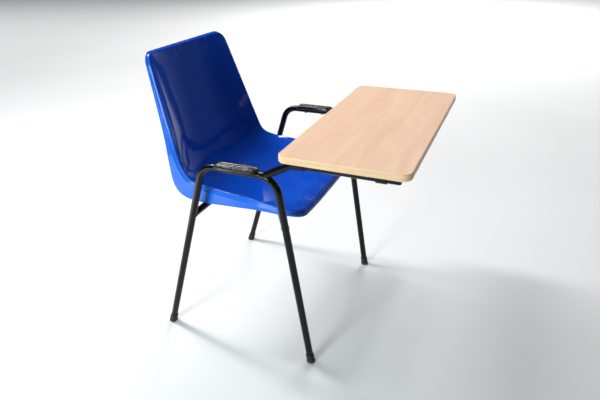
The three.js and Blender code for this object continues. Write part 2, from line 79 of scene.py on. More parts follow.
ARM_LOW, ARM_HIGH = design_box("right_side_frame")
RAIL_LOW, RAIL_HIGH = design_box("right_desk_rail")
REAR_BAR_LOW, REAR_BAR_HIGH = design_box("rear_crossbar")
FRONT_BAR_LOW, FRONT_BAR_HIGH = design_box("front_crossbar")
BOARD_LOW, BOARD_HIGH = design_box("desk_edge_band")
PAD_LOW, PAD_HIGH = design_box("right_armrest_pad")

TUBE_R = (ARM_HIGH[0] - ARM_LOW[0]) / 2
TUBE_WALL = 1.5
FRAME_X = -(ARM_HIGH[0] + ARM_LOW[0]) / 2
ARM_Z = ARM_HIGH[2] - TUBE_R
REAR_FOOT_Y = 321  # where the centre lines of the legs reach the floor
FRONT_FOOT_Y = -171
ARM_REAR_Y = 135  # where the centre lines of leg and arm would cross, were they not bent
ARM_FRONT_Y = -81
REAR_BEND = 50
FRONT_BEND = 57
LEG_START = 8
FOOT_R = 12.6
FOOT_TOP = 27.5

RAIL_Z = RAIL_HIGH[2] - TUBE_R
RAIL_LEAVES_Y = -30
RAIL_RISES_Y = -48.5
RAIL_LEVEL_Y = -130
RAIL_END_Y = RAIL_LOW[1]

REAR_BAR_Y, REAR_BAR_Z = ((REAR_BAR_LOW + REAR_BAR_HIGH) / 2)[1:]
FRONT_BAR_Y = FRONT_BAR_HIGH[1] - TUBE_R
FRONT_BAR_Z = (FRONT_BAR_LOW[2] + FRONT_BAR_HIGH[2]) / 2
FRONT_BAR_BEND_X = 190

BOARD_CORNER = 24
LAMINATE = 0.8
EDGE_BAND = 2

SIDES = {"right": -FRAME_X, "left": FRAME_X}
MOUNTS = ("rear_right", "front_right", "rear_left", "front_left")

# ---------------------------------------------------------------- mesh helpers


def add_mesh(name, points, faces, material, body, replaces=(), slot=None, sharp=40):
    """Makes a piece from points in the design's millimetres, and lets it ride on a CAD body."""
    mesh = bpy.data.meshes.new(name)
    mesh.from_pydata(to_row(points).tolist(), [], [list(map(int, face)) for face in faces])
    tidy = bmesh.new()
    tidy.from_mesh(mesh)
    bmesh.ops.remove_doubles(tidy, verts=tidy.verts, dist=1e-7)
    bmesh.ops.recalc_face_normals(tidy, faces=tidy.faces)
    tidy.to_mesh(mesh)
    tidy.free()
    mesh.shade_smooth()
    mesh.set_sharp_from_angle(angle=math.radians(sharp))
    piece = bpy.data.objects.new(name, mesh)
    bpy.context.scene.collection.objects.link(piece)
    for one in material if isinstance(material, (list, tuple)) else [material]:
        mesh.materials.append(one)
    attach(piece, body)
    if replaces:
        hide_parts(*replaces)
    return piece


def loft(rings, wrap=False, caps=True):
    """Skins rings of equally many points. wrap joins the last ring to the first; caps close the ends."""
    count = len(rings[0])
    points = np.concatenate(rings)
    faces = []
    for i in range(len(rings) if wrap else len(rings) - 1):
        a = i * count
        b = ((i + 1) % len(rings)) * count
        for j in range(count):
            k = (j + 1) % count
            faces.append((a + j, a + k, b + k, b + j))
    if caps and not wrap:
        faces.append(tuple(range(count)))
        faces.append(tuple(range((len(rings) - 1) * count, len(rings) * count))[::-1])
    return points, faces


def joined(parts):
    """Several (points, faces) as one, each staying a closed body of its own."""
    points = []
    faces = []
    for part_points, part_faces in parts:
        start = sum(len(p) for p in points)
        points.append(np.asarray(part_points))
        faces += [tuple(start + i for i in face) for face in part_faces]
    return np.concatenate(points), faces


def revolve(profile, centre, axis=(0, 0, 1), sides=40):
    """Turns [radius, along] pairs round an axis through centre. A radius of 0 closes an end."""
    axis = np.array(axis, float) / np.linalg.norm(axis)
    side = np.cross(axis, (0, 1, 0) if abs(axis[1]) < 0.9 else (1, 0, 0))
    side /= np.linalg.norm(side)
    other = np.cross(axis, side)
    turn = np.linspace(0, 2 * math.pi, sides, endpoint=False)[:, None]
    circle = np.cos(turn) * side + np.sin(turn) * other
    rings = [np.array(centre) + axis * along + circle * max(radius, 0.02) for radius, along in profile]
    return loft(rings)


def rounded(profile, radius, steps=4):
    """Rounds each inner corner of an open [radius, along] profile with an arc of about that radius."""
    profile = [np.array(p, float) for p in profile]
    result = [profile[0]]
    for before, corner, after in zip(profile, profile[1:], profile[2:]):
        reach = min(radius, np.linalg.norm(before - corner) / 2, np.linalg.norm(after - corner) / 2)
        start = corner + (before - corner) / np.linalg.norm(before - corner) * reach
        end = corner + (after - corner) / np.linalg.norm(after - corner) * reach
        for t in np.linspace(0, 1, steps + 1):
            result.append((1 - t) ** 2 * start + 2 * t * (1 - t) * corner + t ** 2 * end)
    return result + [profile[-1]]


def bent_path(corners, bends, step=5.0, spacing=25.0):
    """Points and tangents along straight runs joined by circular bends."""
    corners = [np.array(c, float) for c in corners]
    points = [corners[0]]
    for (before, corner, after), radius in zip(zip(corners, corners[1:], corners[2:]), bends):
        into = (corner - before) / np.linalg.norm(corner - before)
        out = (after - corner) / np.linalg.norm(after - corner)
        turn = math.acos(np.clip(into @ out, -1, 1))
        start = corner - into * radius * math.tan(turn / 2)
        inward = out - into * (into @ out)
        inward /= np.linalg.norm(inward)
        for angle in np.linspace(0, turn, max(2, round(math.degrees(turn) / step)) + 1):
            points.append(start + into * radius * math.sin(angle) + inward * radius * (1 - math.cos(angle)))
    points.append(corners[-1])
    fine = [points[0]]
    for a, b in zip(points, points[1:]):
        parts = max(1, round(np.linalg.norm(b - a) / spacing))
        fine += [a + (b - a) * (i + 1) / parts for i in range(parts)]
    points = np.array(fine)
    tangents = np.gradient(points, axis=0)
    tangents[0] = points[1] - points[0]
    tangents[-1] = points[-1] - points[-2]
    return points, tangents / np.linalg.norm(tangents, axis=1)[:, None]


def tube(path, flat_side, outer=TUBE_R, wall=TUBE_WALL, sides=40):
    """A hollow tube along a path that lies in the plane square to flat_side."""
    points, tangents = path
    side = np.array(flat_side, float)
    turn = np.linspace(0, 2 * math.pi, sides, endpoint=False)[:, None]

    def ring(i, radius):
        return points[i] + radius * (np.cos(turn) * side + np.sin(turn) * np.cross(side, tangents[i]))

    outside = [ring(i, outer) for i in range(len(points))]
    inside = [ring(i, outer - wall) for i in range(len(points))]
    return loft(outside + inside[::-1], wrap=True)


def weld_bead(path, flat_side, other, radius=1.5, steps=72):
    """A rippled bead where the tube along path comes out of the tube along the points of other."""
    points, tangents = path
    side = np.array(flat_side, float)
    fine = np.linspace(0, len(points) - 1, len(points) * 12)
    low = np.clip(np.floor(fine).astype(int), 0, len(points) - 2)
    part = (fine - low)[:, None]
    centres = points[low] * (1 - part) + points[low + 1] * part
    along = tangents[low] * (1 - part) + tangents[low + 1] * part
    starts = other[:-1]
    runs = other[1:] - other[:-1]
    line = []
    for angle in np.linspace(0, 2 * math.pi, steps, endpoint=False):
        skin = centres + TUBE_R * (math.cos(angle) * side + math.sin(angle) * np.cross(side, along))
        offset = skin[:, None] - starts
        share = np.clip((offset * runs).sum(2) / (runs ** 2).sum(1), 0, 1)
        apart = np.linalg.norm(offset - share[:, :, None] * runs, axis=2).min(1)
        outside = np.nonzero(apart > TUBE_R + 0.12)[0]
        line.append(skin[outside[0]])
    line = np.array(line)
    for _ in range(2):
        line = (np.roll(line, 1, 0) + 2 * line + np.roll(line, -1, 0)) / 4
    ahead = np.roll(line, -1, 0) - np.roll(line, 1, 0)
    ahead /= np.linalg.norm(ahead, axis=1)[:, None] + 1e-9
    one = np.cross(ahead, side + np.array([0.03, 0.05, 0.02]))
    one /= np.linalg.norm(one, axis=1)[:, None]
    two = np.cross(ahead, one)
    ripple = radius * (1 + 0.14 * np.sin(np.arange(steps) * 2 * math.pi * 24 / steps))
    turn = np.linspace(0, 2 * math.pi, 10, endpoint=False)[:, None]
    rings = [line[i] + ripple[i] * (np.cos(turn) * one[i] + np.sin(turn) * two[i]) for i in range(steps)]
    return loft(rings, wrap=True)


# ---------------------------------------------------------------- material helpers


class Surface:
    """A material's node tree, with short calls for the nodes that the materials here share."""

    def __init__(self, name, **principled):
        self.material = bpy.data.materials.new(name)
        self.material.use_nodes = True
        self.tree = self.material.node_tree
        self.shader = self.tree.nodes["Principled BSDF"]
        for socket, value in principled.items():
            self.shader.inputs[socket.replace("_", " ")].default_value = value
        self.place = self.tree.nodes.new("ShaderNodeTexCoord").outputs["Object"]

    def node(self, kind, inputs=None, **settings):
        node = self.tree.nodes.new("ShaderNode" + kind)
        for name, value in settings.items():
            setattr(node, name, value)
        for key, value in (inputs or {}).items():
            if isinstance(value, bpy.types.NodeSocket):
                self.tree.links.new(value, node.inputs[key])
            else:
                node.inputs[key].default_value = value
        return node

    def stretched(self, scale):
        return self.node("Mapping", {"Vector": self.place, "Scale": scale}).outputs["Vector"]

    def noise(self, scale, detail=3.0, stretch=None, distortion=0.0, roughness=0.5):
        vector = self.stretched(stretch) if stretch else self.place
        inputs = {"Vector": vector, "Scale": scale, "Detail": detail, "Roughness": roughness,
                  "Distortion": distortion}
        return self.node("TexNoise", inputs).outputs["Fac"]

    def ramp(self, fac, low, high, start=0.0, end=1.0):
        """Carries fac from start to end as it goes from low to high."""
        inputs = {"Value": fac, "From Min": low, "From Max": high, "To Min": start, "To Max": end}
        return self.node("MapRange", inputs).outputs["Result"]

    def mix(self, fac, a, b):
        node = self.node("Mix", {"Factor": fac}, data_type="RGBA")
        for key, value in ((6, a), (7, b)):
            if isinstance(value, bpy.types.NodeSocket):
                self.tree.links.new(value, node.inputs[key])
            else:
                node.inputs[key].default_value = (*value, 1.0)
        return node.outputs[2]

    def math(self, operation, a, b):
        return self.node("Math", {0: a, 1: b}, operation=operation).outputs[0]

    def colour(self, socket):
        self.tree.links.new(socket, self.shader.inputs["Base Color"])

    def roughness(self, socket):
        self.tree.links.new(socket, self.shader.inputs["Roughness"])

    def bump(self, *layers):
        """Bump from (height socket, strength, distance in metres) layers, one on top of another."""
        normal = None
        for height, strength, distance in layers:
            inputs = {"Height": height, "Strength": strength, "Distance": distance}
            if normal:
                inputs["Normal"] = normal
            normal = self.node("Bump", inputs).outputs["Normal"]
        self.tree.links.new(normal, self.shader.inputs["Normal"])


# ---------------------------------------------------------------- materials


def gloss_paint():
    """Gloss black paint on steel tube: orange peel, faint dulling, and a few fine scuffs."""
    s = Surface("gloss_black_paint", Specular_IOR_Level=0.26)
    cloud = s.noise(14, 4)
    scuff = s.ramp(s.noise(60, 5, stretch=(6, 6, 1), distortion=1.2), 0.66, 0.72)
    patches = s.ramp(s.noise(9, 2), 0.5, 0.68)
    worn = s.math("MULTIPLY", scuff, patches)
    black = s.mix(cloud, (0.0015, 0.0014, 0.0014), (0.0034, 0.0032, 0.0032))
    s.colour(s.mix(worn, black, (0.035, 0.035, 0.036)))
    s.roughness(s.math("ADD", s.ramp(cloud, 0.3, 0.7, 0.09, 0.16), s.math("MULTIPLY", worn, 0.3)))
    s.bump((s.noise(420, 2), 0.12, 0.0004), (s.noise(70, 2), 0.08, 0.001))
    return s.material


def shell_plastic():
    """Glossy blue polypropylene: soft waviness, fine scratches, knocked edges with pale specks that are
    painted highlights, and a painted reflection that makes the outer flange paler.
    """
    s = Surface("glossy_blue_shell", Specular_IOR_Level=0.22)
    flow = s.noise(5, 3, distortion=0.6)
    deep = s.mix(s.ramp(flow, 0.3, 0.7), (0.0025, 0.046, 0.37), (0.0045, 0.06, 0.45))
    scratch_a = s.ramp(s.noise(90, 3, stretch=(1, 14, 14), distortion=0.4), 0.68, 0.74)
    scratch_b = s.ramp(s.noise(80, 3, stretch=(12, 1, 3), distortion=0.5), 0.69, 0.75)
    scratches = s.math("MAXIMUM", scratch_a, scratch_b)
    rubbed = s.math("MULTIPLY", scratches, s.ramp(s.noise(11, 2), 0.45, 0.65))
    place = s.node("SeparateXYZ", {"Vector": s.place})
    front_edge = s.ramp(place.outputs["Y"], -0.02, -0.07)
    top_edge = s.ramp(place.outputs["Z"], 0.79, 0.835)
    edges = s.math("MAXIMUM", front_edge, top_edge)
    knocks = s.math("MULTIPLY", edges, s.ramp(s.noise(24, 2), 0.47, 0.6))
    pitted = s.math("MULTIPLY", s.noise(260, 2), knocks)
    # Pale specks along the knocked edges: scuffs, painted light in the colour so that they show as glints
    # under any light (painted highlight).
    scuffs_and_painted_glints = s.math("MULTIPLY", s.ramp(s.noise(420, 2), 0.62, 0.68), knocks)
    # Painted reflection: faces turned outward, away from the middle of the chair, get a paler azure blue in
    # the colour, standing in for bright surroundings mirrored in the flange.
    facing = s.node("SeparateXYZ", {"Vector": s.node("TexCoord").outputs["Normal"]})
    from_middle = s.math("SUBTRACT", place.outputs["X"], ORIGIN.x)
    outward = s.ramp(s.math("MULTIPLY", facing.outputs["X"], from_middle), 0.07, 0.17)
    blue = s.mix(outward, deep, (0.016, 0.115, 0.56))
    s.colour(s.mix(scuffs_and_painted_glints, s.mix(rubbed, blue, (0.02, 0.10, 0.52)), (0.30, 0.38, 0.75)))
    haze = s.ramp(s.noise(16, 4, distortion=0.3), 0.35, 0.7, 0.05, 0.10)
    s.roughness(s.math("ADD", haze, s.math("MULTIPLY", rubbed, 0.22)))
    s.bump((s.noise(9, 1), 0.2, 0.004), (s.noise(34, 2), 0.035, 0.0012), (pitted, 0.5, 0.0009))
    return s.material


def shell_underside():
    """The back of the same moulding, spark-eroded to a fine matt grain."""
    s = Surface("matt_blue_underside", Specular_IOR_Level=0.35)
    s.colour(s.mix(s.noise(8, 3), (0.004, 0.042, 0.34), (0.007, 0.06, 0.42)))
    s.roughness(s.ramp(s.noise(30, 3), 0.3, 0.7, 0.42, 0.55))
    grain = s.node("TexVoronoi", {"Vector": s.place, "Scale": 900.0}).outputs["Distance"]
    s.bump((grain, 0.25, 0.0003), (s.noise(12, 1), 0.2, 0.002))
    return s.material


def pad_plastic():
    """Hard black ribbed plastic: fine lengthwise scratches, and patches rubbed dull by forearms."""
    s = Surface("black_pad_plastic")
    s.colour(s.mix(s.noise(40, 3), (0.002, 0.002, 0.002), (0.005, 0.005, 0.005)))
    lines = s.noise(160, 3, stretch=(10, 1, 10))
    rubbed = s.ramp(s.noise(26, 3, stretch=(3, 1, 1), distortion=0.5), 0.5, 0.6)
    s.roughness(s.math("ADD", s.ramp(lines, 0.3, 0.8, 0.04, 0.09), s.math("MULTIPLY", rubbed, 0.35)))
    s.tree.links.new(s.ramp(rubbed, 0.0, 1.0, 0.75, 0.2), s.shader.inputs["Specular IOR Level"])
    s.bump((lines, 0.05, 0.0003), (s.noise(700, 2), 0.04, 0.0002))
    return s.material


def rubber():
    """Black rubber, greyed with floor dust near the ground."""
    s = Surface("black_rubber", Specular_IOR_Level=0.35)
    height = s.node("SeparateXYZ", {"Vector": s.place}).outputs["Z"]
    dust = s.math("MULTIPLY", s.ramp(height, 0.012, 0.0), s.ramp(s.noise(220, 4), 0.4, 0.65))
    black = s.mix(s.noise(90, 3), (0.008, 0.008, 0.008), (0.016, 0.016, 0.016))
    s.colour(s.mix(dust, black, (0.07, 0.065, 0.06)))
    s.roughness(s.ramp(s.noise(120, 3), 0.3, 0.7, 0.55, 0.75))
    s.bump((s.noise(1400, 3), 0.3, 0.0002), (s.noise(160, 2), 0.15, 0.0005))
    return s.material


def nylon():
    """Matt black nylon with a fine moulded grain."""
    s = Surface("black_nylon", Specular_IOR_Level=0.4)
    s.colour(s.mix(s.noise(150, 3), (0.009, 0.009, 0.0095), (0.018, 0.018, 0.019)))
    s.roughness(s.ramp(s.noise(200, 3), 0.3, 0.7, 0.4, 0.55))
    s.bump((s.noise(1600, 2), 0.25, 0.0002))
    return s.material


def zinc():
    """Bright zinc plate with turning marks and dull patches."""
    s = Surface("zinc_plate", Metallic=1.0)
    s.colour(s.mix(s.noise(300, 4), (0.50, 0.51, 0.53), (0.72, 0.72, 0.70)))
    s.roughness(s.ramp(s.noise(180, 4), 0.3, 0.7, 0.22, 0.42))
    s.bump((s.noise(900, 3, stretch=(1, 1, 8)), 0.2, 0.0002))
    return s.material


def brass():
    """Plain turned brass."""
    s = Surface("turned_brass", Metallic=1.0)
    s.colour(s.mix(s.noise(200, 3), (0.55, 0.38, 0.14), (0.72, 0.53, 0.24)))
    s.roughness(s.ramp(s.noise(300, 3, stretch=(1, 1, 9)), 0.3, 0.7, 0.25, 0.4))
    s.bump((s.noise(900, 2, stretch=(1, 1, 9)), 0.15, 0.0002))
    return s.material


def beech_top():
    """Beech-pattern laminate: faint cathedral bands, fine dark flecks along the board, satin bloom."""
    s = Surface("beech_laminate", Specular_IOR_Level=0.4)
    bands = s.noise(9, 3, stretch=(0.28, 2.2, 1), distortion=0.9)
    streaks = s.noise(120, 5, stretch=(0.06, 1.6, 1), distortion=0.3, roughness=0.6)
    pale = s.mix(s.ramp(bands, 0.3, 0.7), (0.555, 0.36, 0.25), (0.63, 0.435, 0.31))
    toned = s.mix(s.ramp(streaks, 0.35, 0.75, 0.0, 0.4), pale, (0.55, 0.335, 0.21))
    flecks = s.ramp(s.noise(420, 2, stretch=(0.10, 1.2, 1)), 0.66, 0.74, 0.0, 0.3)
    s.colour(s.mix(flecks, toned, (0.40, 0.21, 0.12)))
    s.roughness(s.ramp(s.noise(24, 4), 0.3, 0.7, 0.34, 0.46))
    s.bump((streaks, 0.08, 0.0004), (s.noise(1500, 2), 0.06, 0.0001))
    return s.material


def edge_band():
    """Cream plastic edging: faint drawn lines along it and a soft sheen."""
    s = Surface("cream_edge_band", Specular_IOR_Level=0.45)
    lines = s.noise(260, 3, stretch=(0.05, 0.05, 1.4))
    s.colour(s.mix(s.ramp(lines, 0.3, 0.75), (0.69, 0.47, 0.275), (0.60, 0.39, 0.22)))
    s.roughness(s.ramp(s.noise(60, 3), 0.3, 0.7, 0.3, 0.42))
    s.bump((lines, 0.08, 0.0003), (s.noise(900, 2), 0.06, 0.0002))
    return s.material


def backing():
    """Plain backing laminate, mottled and matt."""
    s = Surface("backing_laminate", Specular_IOR_Level=0.3)
    s.colour(s.mix(s.noise(50, 5), (0.50, 0.43, 0.34), (0.60, 0.53, 0.43)))
    s.roughness(s.ramp(s.noise(80, 3), 0.3, 0.7, 0.5, 0.62))
    s.bump((s.noise(1100, 3), 0.15, 0.0002))
    return s.material


def chipboard():
    """Raw chipboard: pressed chips of several tones."""
    s = Surface("chipboard", Specular_IOR_Level=0.2)
    chips = s.node("TexVoronoi", {"Vector": s.place, "Scale": 420.0}).outputs["Color"]
    tone = s.node("SeparateColor", {"Color": chips}).outputs["Red"]
    s.colour(s.mix(tone, (0.34, 0.22, 0.12), (0.58, 0.43, 0.27)))
    s.roughness(s.ramp(s.noise(300, 3), 0.3, 0.7, 0.75, 0.9))
    s.bump((tone, 0.5, 0.0005))
    return s.material


PAINT = gloss_paint()
SHELL = shell_plastic()
UNDERSIDE = shell_underside()
PAD_PLASTIC = pad_plastic()
RUBBER = rubber()
NYLON = nylon()
ZINC = zinc()
BRASS = brass()
BEECH = beech_top()
BANDING = edge_band()
BACKING = backing()
CHIPBOARD = chipboard()

# ---------------------------------------------------------------- side frames, rails and crossbars


def leg_at(foot_y, corner_y, z):
    return foot_y + (corner_y - foot_y) * z / ARM_Z


def side_frame_path(x):
    return bent_path([
        (x, leg_at(REAR_FOOT_Y, ARM_REAR_Y, LEG_START), LEG_START),
        (x, ARM_REAR_Y, ARM_Z),
        (x, ARM_FRONT_Y, ARM_Z),
        (x, leg_at(FRONT_FOOT_Y, ARM_FRONT_Y, LEG_START), LEG_START),
    ], [REAR_BEND, FRONT_BEND])


def rail_path(x):
    return bent_path([
        (x, RAIL_LEAVES_Y, ARM_Z),
        (x, RAIL_RISES_Y, ARM_Z),
        (x, RAIL_LEVEL_Y, RAIL_Z),
        (x, RAIL_END_Y, RAIL_Z),
    ], [38, 45])


def rear_bar_path():
    return bent_path([(x, REAR_BAR_Y, REAR_BAR_Z) for x in (-FRAME_X + 4, 0, FRAME_X - 4)], [])


def front_bar_path():
    leg_y = leg_at(FRONT_FOOT_Y, ARM_FRONT_Y, FRONT_BAR_Z)
    out = np.array([FRAME_X - FRONT_BAR_BEND_X, leg_y - FRONT_BAR_Y])
    inset = 4 * out / np.linalg.norm(out)
    return bent_path([
        (-FRAME_X + inset[0], leg_y - inset[1], FRONT_BAR_Z),
        (-FRONT_BAR_BEND_X, FRONT_BAR_Y, FRONT_BAR_Z),
        (FRONT_BAR_BEND_X, FRONT_BAR_Y, FRONT_BAR_Z),
        (FRAME_X - inset[0], leg_y - inset[1], FRONT_BAR_Z),
    ], [40, 40])


def build_side(side, x):
    frame_path = side_frame_path(x)
    across = (1, 0, 0)
    add_mesh(f"{side}_bent_frame", *tube(frame_path, across), PAINT, "chair",
             [f"{side}_side_frame"], "frame_paint")
    rail = rail_path(x)
    parts = [tube(rail, across, outer=TUBE_R - 0.05), weld_bead(rail, across, frame_path[0], 1.2)]
    add_mesh(f"{side}_bent_rail", *joined(parts), PAINT, "chair", [f"{side}_desk_rail"], "frame_paint")


def build_crossbars():
    upward = (0, 0, 1)
    for name, path in (("rear", rear_bar_path()), ("front", front_bar_path())):
        backwards = (path[0][::-1], -path[1][::-1])
        parts = [
            tube(path, upward),
            weld_bead(path, upward, side_frame_path(-FRAME_X)[0]),
            weld_bead(backwards, upward, side_frame_path(FRAME_X)[0]),
        ]
        add_mesh(f"{name}_bar", *joined(parts), PAINT, "chair", [f"{name}_crossbar"], "frame_paint")


# ---------------------------------------------------------------- seat shell

SHELL_WALL = 4
FRONT_CORNER = 52  # plan radius of the seat's front corners
TOP_CORNER = 26  # and of the top corners of the back
BEAD = 6.6  # radius of the rolled rim
FLARE = 10  # how far the skirt stands outside the rim's crest
DISH = 3.2  # how square the bucket's cross-section is
RECLINE = math.radians(16.7)
BOSS_R = 12.5
INSERT_R = 5.6
ROWS = 132
COLUMNS = 92

# The shell at stations from the front edge of the seat to the top of the back: its deepest line [y, z],
# the crest of its side [half width, y, z], and the skirt's depth and direction in degrees from straight
# down. They are the CAD part's own stations.
STATIONS = np.array([
    [-115, 454, 224, -112, 463, 21, -6],
    [-80, 462, 225, -78, 472, 18, 0],
    [-10, 459, 225, -8, 483, 27, 0],
    [60, 454, 225, 58, 488, 35, 0],
    [125, 450, 225, 112, 493, 43, 2],
    [190, 457, 224, 166, 498, 52, 12],
    [236, 496, 225, 211, 513, 62, 44],
    [264, 555, 228, 238, 563, 36, 70],
    [296, 643, 217, 262, 643, 25, 72],
    [325, 748, 203, 294, 748, 17, 72],
    [344, 839, 189, 323, 845, 13, 72],
], float)


def stations_at(t):
    """The stations' values at t from 0 to 1, on a Catmull-Rom curve."""
    ends = (2 * STATIONS[:1] - STATIONS[1:2], STATIONS, 2 * STATIONS[-1:] - STATIONS[-2:-1])
    padded = np.concatenate(ends)
    at = np.atleast_1d(t) * (len(STATIONS) - 1)
    i = np.clip(np.floor(at).astype(int), 0, len(STATIONS) - 2)
    w = (at - i)[:, None]
    p0, p1, p2, p3 = (padded[i + k] for k in range(4))
    return p1 + 0.5 * w * (p2 - p0 + w * (2 * p0 - 5 * p1 + 4 * p2 - p3 + w * (3 * (p1 - p2) + p3 - p0)))


def corner_inset(radius, distance):
    inside = np.clip(radius - distance, 0, radius)
    return radius - np.sqrt(radius ** 2 - inside ** 2)


class ShellRows:
    """Rows across the shell at each t: their places, widths, and which way their ends face."""

    def __init__(self, t):
        values = stations_at(t)
        first, last = stations_at([0.0, 1.0])[:, 2:5]
        self.centre = values[:, 0:2]
        self.rim = values[:, 2:5]
        self.skirt = values[:, 5]
        self.turn = np.radians(values[:, 6])
        from_front = np.linalg.norm(self.rim - first, axis=1)
        from_top = np.linalg.norm(self.rim - last, axis=1)
        inset = corner_inset(FRONT_CORNER, from_front) + corner_inset(TOP_CORNER, from_top)
        self.half = self.rim[:, 0] - inset
        self.facing_front = np.clip(1 - from_front / FRONT_CORNER, 0, 1)
        self.facing_top = np.clip(1 - from_top / TOP_CORNER, 0, 1)

    def points(self, across):
        """Points at the given shares of each row's half width."""
        x = self.half[:, None] * across[None, :]
        rise = np.abs(x / self.rim[:, :1]) ** DISH
        yz = [self.centre[:, k, None] * (1 - rise) + self.rim[:, k + 1, None] * rise for k in (0, 1)]
        return np.stack([x, *yz], axis=2)


def shell_height(x, y):
    """Height of the seat's upper surface over a point of the seat pan."""
    t = np.linspace(0, 0.5, 800)
    rows = ShellRows(t)
    across = x / rows.half
    rise = np.abs(x / rows.rim[:, 0]) ** DISH
    ys = rows.centre[:, 0] * (1 - rise) + rows.rim[:, 1] * rise
    zs = rows.centre[:, 1] * (1 - rise) + rows.rim[:, 2] * rise
    usable = np.abs(across) < 1
    return float(np.interp(y, ys[usable], zs[usable]))


def rim_section(depth):
    """The rim as [out, down] pairs for each depth: rolled bead, fillet, shoulder, then the skirt."""
    section = [(BEAD * math.sin(a), BEAD * (1 - math.cos(a))) for a in np.radians([15, 30, 45, 60, 75])]
    reach = np.minimum(6.5, 0.4 * (depth - BEAD))
    for share in np.linspace(0, 1, 9):
        smooth = share * share * (3 - 2 * share)
        section.append((BEAD + (FLARE - 0.4 - BEAD) * smooth, BEAD + reach * share))
    for share in np.linspace(0.15, 1, 7):
        section.append((FLARE - 0.4 + 0.4 * share, BEAD + reach + (depth - 2 - BEAD - reach) * share))
    return section


def shell_outline(rows, columns):
    """Indices (row, column) once round the rim, and the way out of the shell at each."""
    i = [0] * columns + list(range(rows)) + [rows] * columns + list(range(rows, 0, -1))
    j = list(range(columns)) + [columns] * rows + list(range(columns, 0, -1)) + [0] * rows
    return np.array(i), np.array(j)


def surface_normals(points, faces):
    normals = np.zeros_like(points)
    quads = np.array(faces)
    across = np.cross(points[quads[:, 2]] - points[quads[:, 0]], points[quads[:, 3]] - points[quads[:, 1]])
    for corner in range(4):
        np.add.at(normals, quads[:, corner], across)
    return normals / np.linalg.norm(normals, axis=1)[:, None]


def shell_mesh():
    """The whole moulding as (points, faces, how many of the faces belong to the glossy side)."""
    t = 0.5 - 0.5 * np.cos(np.pi * np.arange(ROWS + 1) / ROWS)
    across = np.sin((np.pi / 2) * (2 * np.arange(COLUMNS + 1) / COLUMNS - 1))
    rows = ShellRows(t)
    grid = rows.points(across)
    width = COLUMNS + 1
    points = [grid.reshape(-1, 3)]
    faces = []
    for i in range(ROWS):
        for j in range(COLUMNS):
            a = i * width + j
            faces.append((a, a + 1, a + width + 1, a + width))
    i, j = shell_outline(ROWS, COLUMNS)
    endwise = np.maximum(rows.facing_front, rows.facing_top)[i]
    sideways = np.where(np.abs(across[j]) < 1, 0, np.sqrt(1 - endwise ** 2) * np.sign(across[j]))
    up_the_back = np.array([0, math.sin(RECLINE), math.cos(RECLINE)])
    ahead = np.where((rows.facing_top[i] > 0)[:, None], up_the_back, np.array([0.0, -1, 0]))
    outward = ahead * endwise[:, None] + sideways[:, None] * np.array([1.0, 0, 0])
    turn = rows.turn[i]
    down = np.stack([0 * turn, np.sin(turn), -np.cos(turn)], axis=1)
    crest = grid[i, j]
    count = len(crest)
    loop = i * width + j
    for out, drop in rim_section(rows.skirt[i]):
        ring = crest + outward * np.reshape(out, (-1, 1)) + down * np.reshape(drop, (-1, 1))
        start = sum(len(p) for p in points)
        points.append(ring)
        for k in range(count):
            n = (k + 1) % count
            faces.append((loop[k], start + k, start + n, loop[n]))
        loop = np.arange(start, start + count)
    top = np.concatenate(points)
    under = top - surface_normals(top, faces) * SHELL_WALL
    shift = len(top)
    glossy = list(faces)
    matt = [tuple(shift + v for v in face[::-1]) for face in faces]
    edge_out = top[loop]
    edge_in = under[loop]
    points = [top, under]
    previous = loop
    for angle in np.radians([30, 60, 90, 120, 150]):
        middle_line = (edge_out + edge_in) / 2
        half = (edge_out - edge_in) / 2
        ring = middle_line + half * math.cos(angle) + down * (SHELL_WALL / 2) * math.sin(angle)
        start = sum(len(p) for p in points)
        points.append(ring)
        for k in range(count):
            n = (k + 1) % count
            glossy.append((previous[k], start + k, start + n, previous[n]))
        previous = np.arange(start, start + count)
    for k in range(count):
        n = (k + 1) % count
        glossy.append((previous[k], shift + loop[k], shift + loop[n], previous[n]))
    return np.concatenate(points), glossy + matt, len(glossy)


def plate(outline, axis, thick):
    """A flat plate: an outline of points, given thickness along an axis."""
    offset = np.array(axis, float) * thick / 2
    outline = np.array(outline, float)
    return loft([outline - offset, outline + offset])


def under_seat(x, y, drop):
    """A point that far below where a rib under the seat is rooted in it."""
    return (x, y, shell_height(x, y) - SHELL_WALL + 1.2 - drop)


def boss(mount):
    """One of the bosses that the seat stands on, flared into the seat, with four gusset ribs."""
    insert_low, insert_high = design_box(f"seat_insert_{mount}")
    x, y = ((insert_low + insert_high) / 2)[:2]
    foot = insert_low[2] - 0.3
    top = shell_height(x, y) - SHELL_WALL
    pocket = insert_high[2] + 0.6
    profile = [(0, pocket), (INSERT_R + 0.1, pocket), (INSERT_R + 0.1, foot), (BOSS_R, foot),
               (BOSS_R, top - 5), (BOSS_R + 4.5, top + 0.6), (BOSS_R + 4.5, top + 1.6), (0, top + 1.6)]
    parts = [revolve(rounded(profile, 1.2), (x, y, 0))]
    root = BOSS_R - 2
    rib = ((root, 0), (20, 0), (28, 0), (36, 0), (28, 3), (20, 7), (root, (top - foot) * 0.75))
    for way, axis in (((1, 0), (0, 1, 0)), ((-1, 0), (0, 1, 0)), ((0, 1), (1, 0, 0)), ((0, -1), (1, 0, 0))):
        outline = [under_seat(x + way[0] * reach, y + way[1] * reach, drop) for reach, drop in rib]
        parts.append(plate(outline, axis, 2.4))
    return parts


def build_shell():
    points, faces, glossy = shell_mesh()
    extra_points, extra_faces = joined([part for mount in MOUNTS for part in boss(mount)])
    start = len(points)
    everything = faces + [tuple(start + v for v in face) for face in extra_faces]
    shell = add_mesh("bucket_shell", np.concatenate([points, extra_points]), everything,
                     [SHELL, UNDERSIDE], "chair", ["seat_shell"], "shell", sharp=50)
    underside = np.ones(len(everything), np.int32)
    underside[:glossy] = 0
    shell.data.polygons.foreach_set("material_index", underside)
    return shell


# ---------------------------------------------------------------- arm pads, feet and end caps

